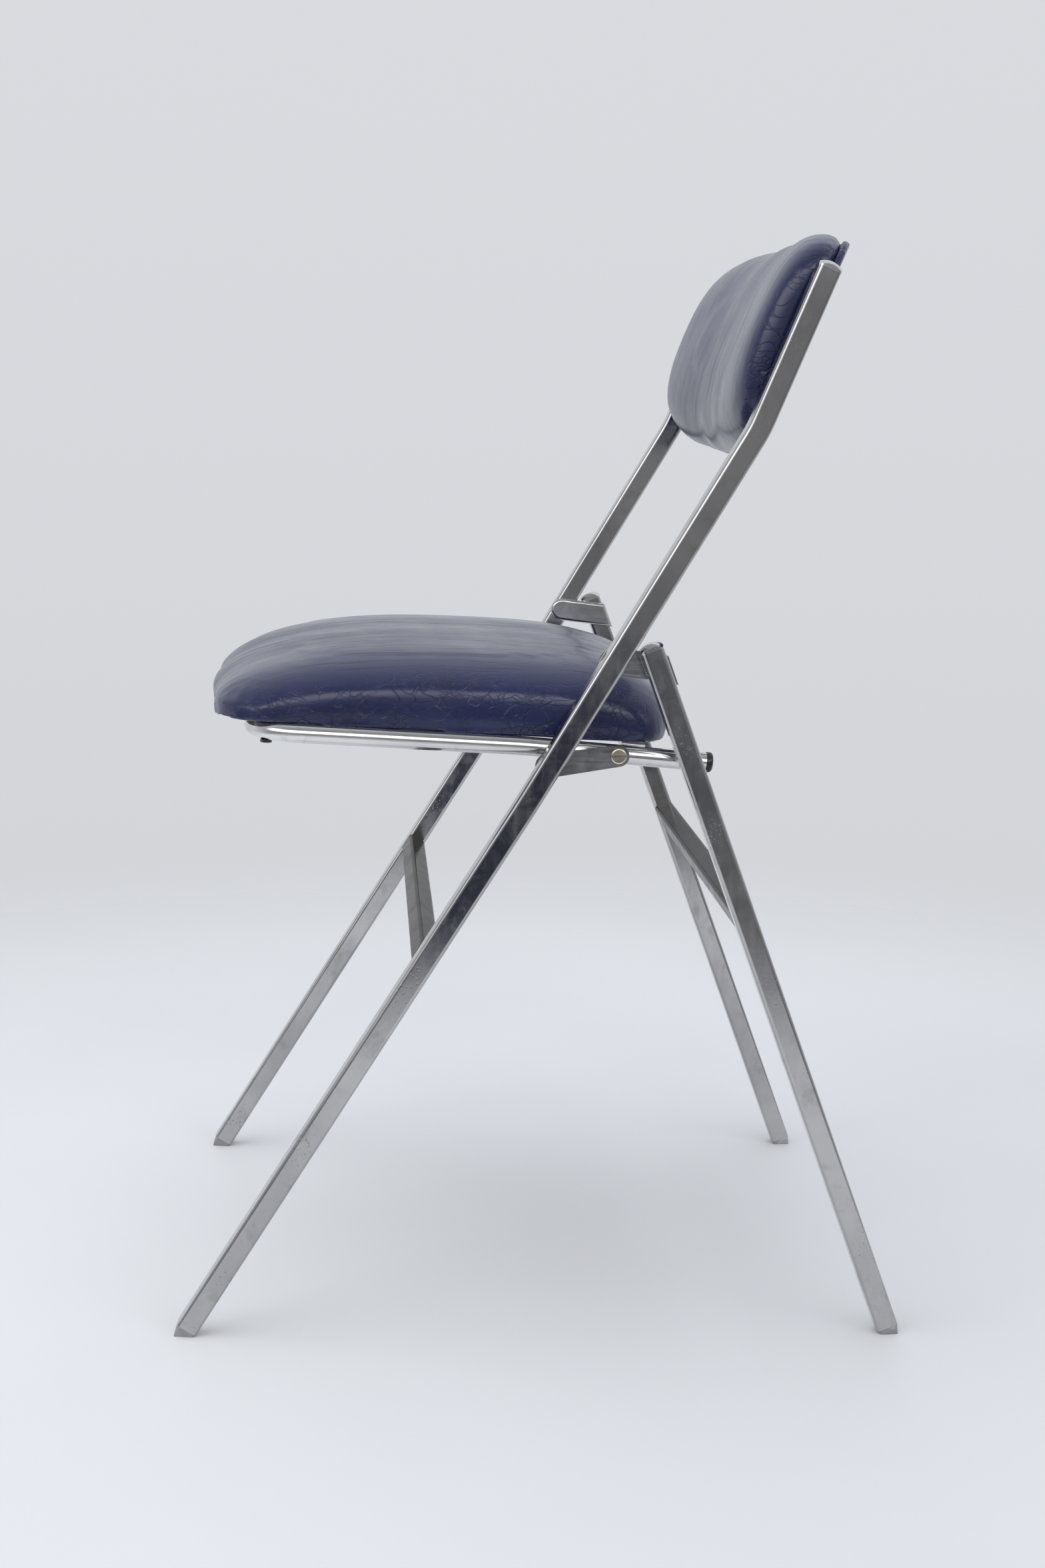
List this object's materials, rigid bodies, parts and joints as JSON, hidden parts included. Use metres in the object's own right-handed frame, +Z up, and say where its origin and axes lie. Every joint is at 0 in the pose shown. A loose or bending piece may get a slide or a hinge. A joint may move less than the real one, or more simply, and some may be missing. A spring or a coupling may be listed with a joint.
{
  "type": "folding chair",
  "caption": "Padded folding chair: square-tube side frames that cross, a seat pad on a bent round tube, and a shallow curved backrest.",
  "frame": {"origin": "on the floor, in the middle of the chair's footprint", "axes": "+Z up, -Y the way the sitter faces, +X towards the sitter's left; the chair is its own mirror image about X = 0"},
  "size_m": [0.3976, 0.5013, 0.7477],
  "materials": {
    "chrome_tube": "polished",
    "chrome_cap": "polished",
    "bright_steel": "satin",
    "link_steel": "satin",
    "rivet_brass": "satin",
    "screw_steel": "satin",
    "foot_grey": "matte",
    "plug_black": "gloss",
    "board": "matte",
    "vinyl": "satin",
    "vinyl_panel": "satin"
  },
  "bodies": {
    "main_frame": {"main_bar_left": "chrome_tube", "main_bar_right": "chrome_tube", "front_cross_brace": "chrome_tube", "upright_cap_left": "chrome_cap", "upright_cap_right": "chrome_cap", "front_foot_left": "foot_grey", "front_foot_right": "foot_grey", "upper_pivot_stud_left": "bright_steel", "upper_pivot_stud_right": "bright_steel", "link_pivot_pin_left": "bright_steel", "link_pivot_pin_right": "bright_steel", "link_washer_left": "bright_steel", "link_washer_right": "bright_steel", "backrest_board": "board", "backrest_cushion": "vinyl", "backrest_rear_panel": "vinyl_panel", "backrest_rail_lower": "screw_steel", "backrest_rail_upper": "screw_steel", "backrest_screws": "screw_steel"},
    "rear_frame": {"rear_leg_left": "chrome_tube", "rear_leg_right": "chrome_tube", "rear_cross_brace": "chrome_tube", "rear_leg_cap_left": "chrome_cap", "rear_leg_cap_right": "chrome_cap", "rear_foot_left": "foot_grey", "rear_foot_right": "foot_grey", "pivot_bracket_left": "bright_steel", "pivot_bracket_right": "bright_steel", "pivot_bush_left": "bright_steel", "pivot_bush_right": "bright_steel", "seat_pivot_stud_left": "bright_steel", "seat_pivot_stud_right": "bright_steel"},
    "seat_links": {"seat_link_left": "link_steel", "seat_link_right": "link_steel"},
    "seat": {"seat_tube": "chrome_tube", "seat_tube_plug_left": "plug_black", "seat_tube_plug_right": "plug_black", "seat_tab_left": "bright_steel", "seat_tab_right": "bright_steel", "seat_board": "board", "seat_cushion": "vinyl", "seat_screws": "screw_steel", "link_rivet_left": "rivet_brass", "link_rivet_right": "rivet_brass", "seat_pivot_rivet_left": "bright_steel", "seat_pivot_rivet_right": "bright_steel"}
  },
  "joints": [
    {"name": "rear_legs", "type": "hinge", "parent": "main_frame", "child": "rear_frame", "pos_m": [0, 0.04554, 0.4666], "axis": [-1, 0, 0], "range_deg": [0, 45]},
    {"name": "seat_links", "type": "hinge", "parent": "main_frame", "child": "seat_links", "pos_m": [0, 0.00362, 0.3965], "axis": [1, 0, 0], "range_deg": [0, 34.4]},
    {"name": "seat_fold", "type": "hinge", "parent": "seat_links", "child": "seat", "pos_m": [0, 0.0509, 0.40313], "axis": [-1, 0, 0], "range_deg": [0, 124.4]}
  ],
  "couplings": [
    {"joint": "seat_links", "follows": "rear_legs", "ratio": 0.76379},
    {"joint": "seat_fold", "follows": "rear_legs", "ratio": 2.7613}
  ]
}
